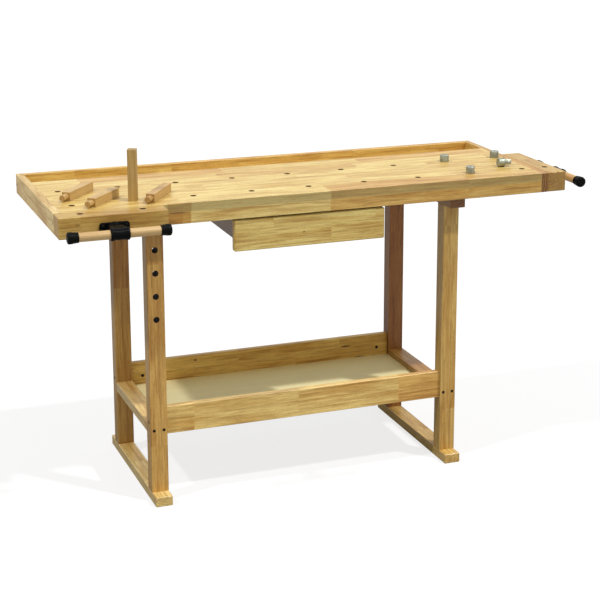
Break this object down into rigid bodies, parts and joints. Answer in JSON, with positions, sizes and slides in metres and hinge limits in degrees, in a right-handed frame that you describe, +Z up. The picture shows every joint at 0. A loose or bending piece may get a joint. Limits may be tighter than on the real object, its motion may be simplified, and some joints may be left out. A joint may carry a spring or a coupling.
{
  "type": "woodworking bench with vises",
  "caption": "Wooden workbench with trestle legs, dog holes, a rear tool tray, a shelf, a sliding drawer, and screw vises at the front and at the right end.",
  "frame": {"origin": "on the floor, in the middle of the overall footprint with both vises closed", "axes": "+Z up, the front of the bench faces -Y, +X to the right, towards the tail vise"},
  "size_m": [1.57, 0.657, 1],
  "materials": {
    "bench_wood": "clear satin lacquer on edge-glued rubberwood",
    "frame_wood": "clear satin lacquer on solid rubberwood",
    "panel_board": "thin wood-fibre board",
    "drawer_board": "melamine-faced board",
    "handle_dowel": "sanded dowel",
    "peg_wood": "sanded hardwood",
    "cap_rubber": "black",
    "black_casting": "glossy black paint on cast iron",
    "plain_steel": "oiled",
    "fastener_steel": "black oxide",
    "dog_steel": "turned"
  },
  "bodies": {
    "bench": {"back_rail": "bench_wood", "drawer_runners": "frame_wood", "end_board_screws": "fastener_steel", "front_edge_strip": "bench_wood", "left_bearer": "frame_wood", "left_end_board": "bench_wood", "left_foot": "frame_wood", "left_front_leg": "frame_wood", "left_rear_leg": "frame_wood", "left_stretcher": "frame_wood", "rail_barrel_nuts": "fastener_steel", "rail_bolts": "fastener_steel", "right_bearer": "frame_wood", "right_end_board": "bench_wood", "right_end_strip": "bench_wood", "right_foot": "frame_wood", "right_front_leg": "frame_wood", "right_rear_leg": "frame_wood", "right_stretcher": "frame_wood", "shelf_back_rail": "frame_wood", "shelf_front_rail": "frame_wood", "shelf_panel": "panel_board", "top_screws": "fastener_steel", "tray_floor": "panel_board", "tray_side_strip": "bench_wood", "trestle_screws": "fastener_steel", "vise_nut_plates": "black_casting", "worktop_slab": "bench_wood"},
    "front_vise_carriage": {"front_vise_jaw": "bench_wood", "front_vise_bracket": "black_casting", "front_vise_bracket_screws": "fastener_steel", "front_vise_guide_rods": "plain_steel", "front_vise_tie_bar": "black_casting"},
    "front_vise_spindle": {"front_vise_screw": "plain_steel", "front_vise_hub": "black_casting"},
    "front_vise_tommy_bar": {"front_vise_handle": "handle_dowel", "front_vise_handle_caps": "cap_rubber"},
    "tail_vise_carriage": {"tail_vise_jaw": "bench_wood", "tail_vise_bracket": "black_casting", "tail_vise_bracket_screws": "fastener_steel", "tail_vise_guide_rods": "plain_steel", "tail_vise_tie_bar": "black_casting"},
    "tail_vise_spindle": {"tail_vise_screw": "plain_steel", "tail_vise_hub": "black_casting"},
    "tail_vise_tommy_bar": {"tail_vise_handle": "handle_dowel", "tail_vise_handle_caps": "cap_rubber"},
    "drawer": {"drawer_back": "drawer_board", "drawer_bottom": "panel_board", "drawer_front": "bench_wood", "drawer_left_side": "drawer_board", "drawer_right_side": "drawer_board", "drawer_slide_strips": "drawer_board"},
    "loose_dog_four": {"dog_four": "dog_steel"},
    "loose_dog_one": {"dog_one": "dog_steel"},
    "loose_dog_three": {"dog_three": "dog_steel"},
    "loose_dog_two": {"dog_two": "dog_steel"},
    "loose_peg_four": {"peg_four": "peg_wood"},
    "loose_peg_one": {"peg_one": "peg_wood"},
    "loose_peg_three": {"peg_three": "peg_wood"},
    "loose_peg_two": {"peg_two": "peg_wood"}
  },
  "joints": [
    {"name": "front_vise_travel", "type": "slide", "parent": "bench", "child": "front_vise_carriage", "axis": [0, -1, 0], "range_m": [0, 0.14]},
    {"name": "front_vise_turn", "type": "hinge", "parent": "front_vise_carriage", "child": "front_vise_spindle", "pos_m": [-0.64, -0.2545, 0.821], "axis": [0, -1, 0], "range_deg": [0, 8400]},
    {"name": "front_vise_bar_slide", "type": "slide", "parent": "front_vise_spindle", "child": "front_vise_tommy_bar", "axis": [1, 0, 0], "range_m": [-0.08, 0.08]},
    {"name": "tail_vise_travel", "type": "slide", "parent": "bench", "child": "tail_vise_carriage", "axis": [1, 0, 0], "range_m": [0, 0.13]},
    {"name": "tail_vise_turn", "type": "hinge", "parent": "tail_vise_carriage", "child": "tail_vise_spindle", "pos_m": [0.711, -0.0515, 0.821], "axis": [1, 0, 0], "range_deg": [0, 7800]},
    {"name": "tail_vise_bar_slide", "type": "slide", "parent": "tail_vise_spindle", "child": "tail_vise_tommy_bar", "axis": [0, 1, 0], "range_m": [-0.077, 0.083]},
    {"name": "drawer_slide", "type": "slide", "parent": "bench", "child": "drawer", "axis": [0, -1, 0], "range_m": [0, 0.25]},
    {"name": "dog_four_lift", "type": "slide", "parent": "bench", "child": "loose_dog_four", "axis": [0, 0, 1], "range_m": [0, 0.25]},
    {"name": "dog_one_lift", "type": "slide", "parent": "bench", "child": "loose_dog_one", "axis": [0, 0, 1], "range_m": [0, 0.25]},
    {"name": "dog_three_lift", "type": "slide", "parent": "bench", "child": "loose_dog_three", "axis": [0, 0, 1], "range_m": [0, 0.25]},
    {"name": "dog_two_lift", "type": "slide", "parent": "bench", "child": "loose_dog_two", "axis": [0, 0, 1], "range_m": [0, 0.25]},
    {"name": "peg_four_lift", "type": "slide", "parent": "bench", "child": "loose_peg_four", "axis": [0, 0, 1], "range_m": [0, 0.25]},
    {"name": "peg_one_lift", "type": "slide", "parent": "bench", "child": "loose_peg_one", "axis": [0, 0, 1], "range_m": [0, 0.25]},
    {"name": "peg_three_lift", "type": "slide", "parent": "bench", "child": "loose_peg_three", "axis": [0, 0, 1], "range_m": [0, 0.25]},
    {"name": "peg_two_lift", "type": "slide", "parent": "bench", "child": "loose_peg_two", "axis": [0, 0, 1], "range_m": [0, 0.25]}
  ],
  "couplings": [
    {"joint": "front_vise_travel", "follows": "front_vise_turn", "m_per_rad": 0.00095492},
    {"joint": "tail_vise_travel", "follows": "tail_vise_turn", "m_per_rad": 0.00095492}
  ]
}
